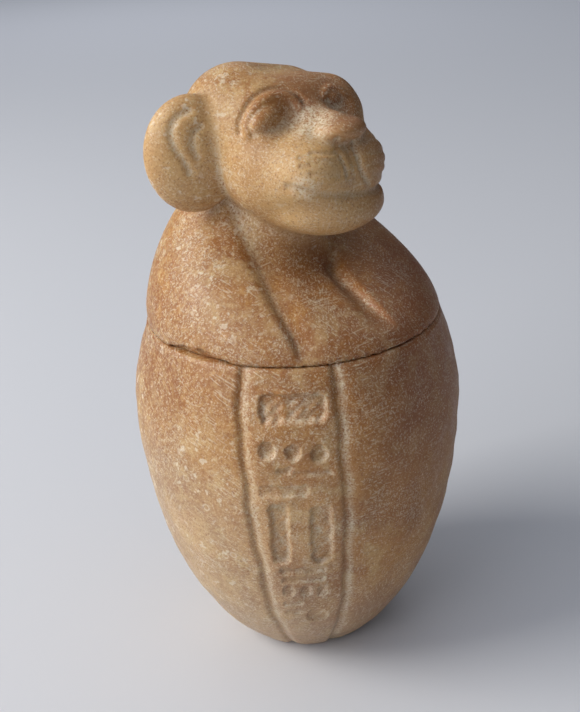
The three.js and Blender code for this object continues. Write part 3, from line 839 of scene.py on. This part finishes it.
def figure(p):
    """The whole lid."""
    d = body(p)
    for places, depth, right_width, left_width in CAPE_FOLDS:
        d = d + cape_fold(p, places, depth, right_width, left_width)
    d = carve(d, chip(p), 0.3)
    d = np.maximum(d, underside(p))
    d = np.maximum(d, np.hypot(p[0], p[1]) - LID_EDGE)
    spigot = np.maximum(np.hypot(p[0], p[1]) - SPIGOT_RADIUS, -SPIGOT_HEIGHT - p[2])
    return np.minimum(d, np.maximum(spigot, p[2] - 1))


def skin(form, axes):
    """The surface of a form as corners and four-sided faces, one corner in each grid cell."""
    values = form(np.meshgrid(*axes, indexing="ij", sparse=True)).astype(np.float32)
    inside = values < 0
    shape = [n - 1 for n in values.shape]
    cell_corners = [(i, j, k) for i in (0, 1) for j in (0, 1) for k in (0, 1)]
    count = np.zeros(shape, np.int8)
    for i, j, k in cell_corners:
        count += inside[i:i + shape[0], j:j + shape[1], k:k + shape[2]]
    cells = np.argwhere((count > 0) & (count < 8))
    total = np.zeros((len(cells), 3))
    hits = np.zeros(len(cells))
    for a in cell_corners:
        for axis in range(3):
            if a[axis]:
                continue
            b = tuple(v + (n == axis) for n, v in enumerate(a))
            ia, ib = cells + a, cells + b
            va, vb = values[tuple(ia.T)], values[tuple(ib.T)]
            crossed = (va < 0) != (vb < 0)
            share = np.where(crossed, va / np.where(crossed, va - vb, 1), 0)
            for n in range(3):
                pa, pb = axes[n][ia[:, n]], axes[n][ib[:, n]]
                total[:, n] += np.where(crossed, pa + (pb - pa) * share, 0)
            hits += crossed
    corners = total / hits[:, None]
    number = -np.ones(shape, dtype=np.int64)
    number[tuple(cells.T)] = np.arange(len(cells))
    quads = []
    for axis in range(3):
        b, c = [(1, 2), (2, 0), (0, 1)][axis]
        here = inside[tuple(slice(0, -1) if n == axis else slice(1, -1) for n in range(3))]
        there = inside[tuple(slice(1, None) if n == axis else slice(1, -1) for n in range(3))]
        edges = np.argwhere(here != there) + [0 if n == axis else 1 for n in range(3)]
        filled = inside[tuple(edges.T)]
        ring = []
        for db, dc in ((-1, -1), (0, -1), (0, 0), (-1, 0)):
            cell = edges.copy()
            cell[:, b] += db
            cell[:, c] += dc
            ring.append(number[tuple(cell.T)])
        ring = np.stack(ring, -1)
        quads.append(np.where(filled[:, None], ring, ring[:, ::-1]))
    return corners, np.concatenate(quads)


def graded(start, end, close_start, close_end, close_pitch, open_pitch):
    """Grid planes that stand closer together between two places."""
    spans = [(start, close_start, open_pitch), (close_start, close_end, close_pitch),
             (close_end, end, open_pitch)]
    planes = [np.linspace(a, b, max(2, round((b - a) / pitch) + 1)) for a, b, pitch in spans]
    return np.concatenate([planes[0], planes[1][1:], planes[2][1:]])


def moved(p, axis, distance):
    """The same places, moved along one axis."""
    return [p[n] + distance * (n == axis) for n in range(3)]


# The lid's grid: its pitches in millimetres, fine over the face and ears, and how far from
# a place its slope and its hollowness are felt.
CLOSE_PITCH, OPEN_PITCH = ((0.48, 0.95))
SLOPE_REACH = 0.05
HOLLOW_REACH = 1.2


def settled(corners):
    """Corners slid onto the form's own surface."""
    for _ in range(2):
        p = corners.T
        d = figure(p)
        steep = np.stack(
            [(figure(moved(p, axis, SLOPE_REACH)) - d) / SLOPE_REACH for axis in range(3)], -1)
        length = np.maximum((steep ** 2).sum(1), 0.25)
        corners = corners - np.clip(d, -0.5, 0.5)[:, None] * steep / length[:, None]
    return corners


def lid_dust(p):
    """Dust packed in the hollows, less of it low down and along the brow, mouth and whiskers."""
    near = sum(figure(moved(p, axis, way * HOLLOW_REACH)) for axis in range(3) for way in (-1, 1))
    bend = (near - 6 * figure(p)) / HOLLOW_REACH ** 2
    dust_and_highlight = np.clip(-bend * 1.5 - 0.12, 0, 0.7) * (p[2] > 0.8)
    dust_and_highlight = dust_and_highlight * np.clip(0.35 + (p[2] - 20) / 25, 0.35, 1)
    dust_and_highlight = dust_and_highlight * np.clip(to_path(p, RIGHT_BROW) / 2.5, 0, 1)
    dust_and_highlight = dust_and_highlight * np.clip(0.2 + to_path(p, MOUTH) / 3, 0, 1)
    for line in RIGHT_WHISKERS + LEFT_WHISKERS:
        dust_and_highlight = dust_and_highlight * np.clip(0.2 + to_path(p, line) / 2, 0, 1)
    return dust_and_highlight


def lid_mesh():
    """The figure's skin, turned to one side and set on the jar."""
    reach = RIM_RADIUS + 3
    axes = [graded(-reach, reach, HEAD[0] - 24, HEAD[0] + 22, CLOSE_PITCH, OPEN_PITCH),
            graded(-reach, reach, HEAD[1] - 33, HEAD[1] - 2, CLOSE_PITCH, OPEN_PITCH),
            graded(-SPIGOT_HEIGHT - 2, 74, 26, 67, CLOSE_PITCH, OPEN_PITCH)]
    corners, quads = skin(figure, axes)
    corners = settled(corners)
    dust_and_highlight = lid_dust(corners.T)
    cosine, sine = np.cos(LID_TURN), np.sin(LID_TURN)
    lid_turn = np.array([[cosine, -sine, 0], [sine, cosine, 0], [0, 0, 1]])
    return mesh_object("baboon_lid", corners @ lid_turn.T + [0, 0, SEAM], [quads], dust_and_highlight)


lid = lid_mesh()
lid.data.materials.append(stone)
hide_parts("lid")
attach(lid, "root")
